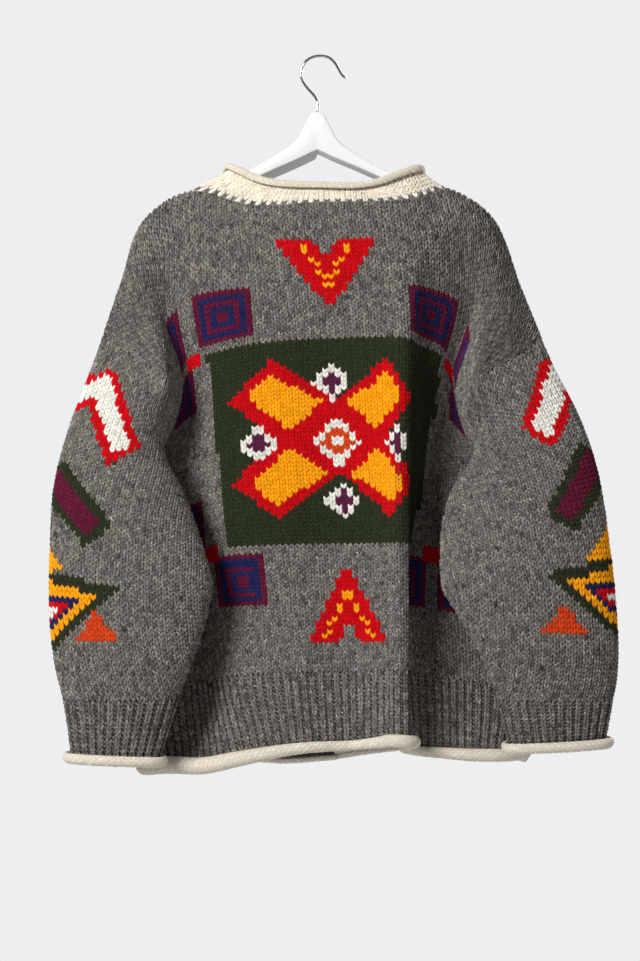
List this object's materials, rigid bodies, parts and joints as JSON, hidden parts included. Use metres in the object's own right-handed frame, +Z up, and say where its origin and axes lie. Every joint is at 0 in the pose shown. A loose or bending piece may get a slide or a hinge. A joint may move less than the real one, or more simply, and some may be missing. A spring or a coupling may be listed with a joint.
{
  "type": "cardigan on a hanger",
  "caption": "Bulky hand-knit cardigan with rolled edges, ribbed hem and cuffs and a buttoned front, hanging on a painted hanger with a wire hook.",
  "frame": {"origin": "inner top of the hook, where a rail or a peg carries it", "axes": "+Z up, +Y out of the buttoned fronts, so the back faces -Y, and +X towards the wearer's right"},
  "size_m": [0.6466, 0.1727, 0.8455],
  "materials": {
    "grey_wool": "heathered knit",
    "cream_wool": "knit",
    "horn_button": "satin",
    "hanger_paint": "satin white paint",
    "hook_wire": "polished"
  },
  "bodies": {
    "root": {"back": "grey_wool", "back_rib": "grey_wool", "back_roll": "cream_wool", "front_left": "grey_wool", "front_left_rib": "grey_wool", "front_left_roll": "cream_wool", "front_right": "grey_wool", "front_right_rib": "grey_wool", "front_right_roll": "cream_wool", "sleeve_left": "grey_wool", "cuff_rib_left": "grey_wool", "cuff_roll_left": "cream_wool", "sleeve_right": "grey_wool", "cuff_rib_right": "grey_wool", "cuff_roll_right": "cream_wool", "collar": "cream_wool", "collar_roll": "cream_wool", "front_strap_left": "cream_wool", "front_strap_right": "cream_wool", "button_1": "horn_button", "button_2": "horn_button", "button_3": "horn_button", "button_4": "horn_button", "button_5": "horn_button", "hanger": "hanger_paint", "hook": "hook_wire"}
  },
  "joints": []
}
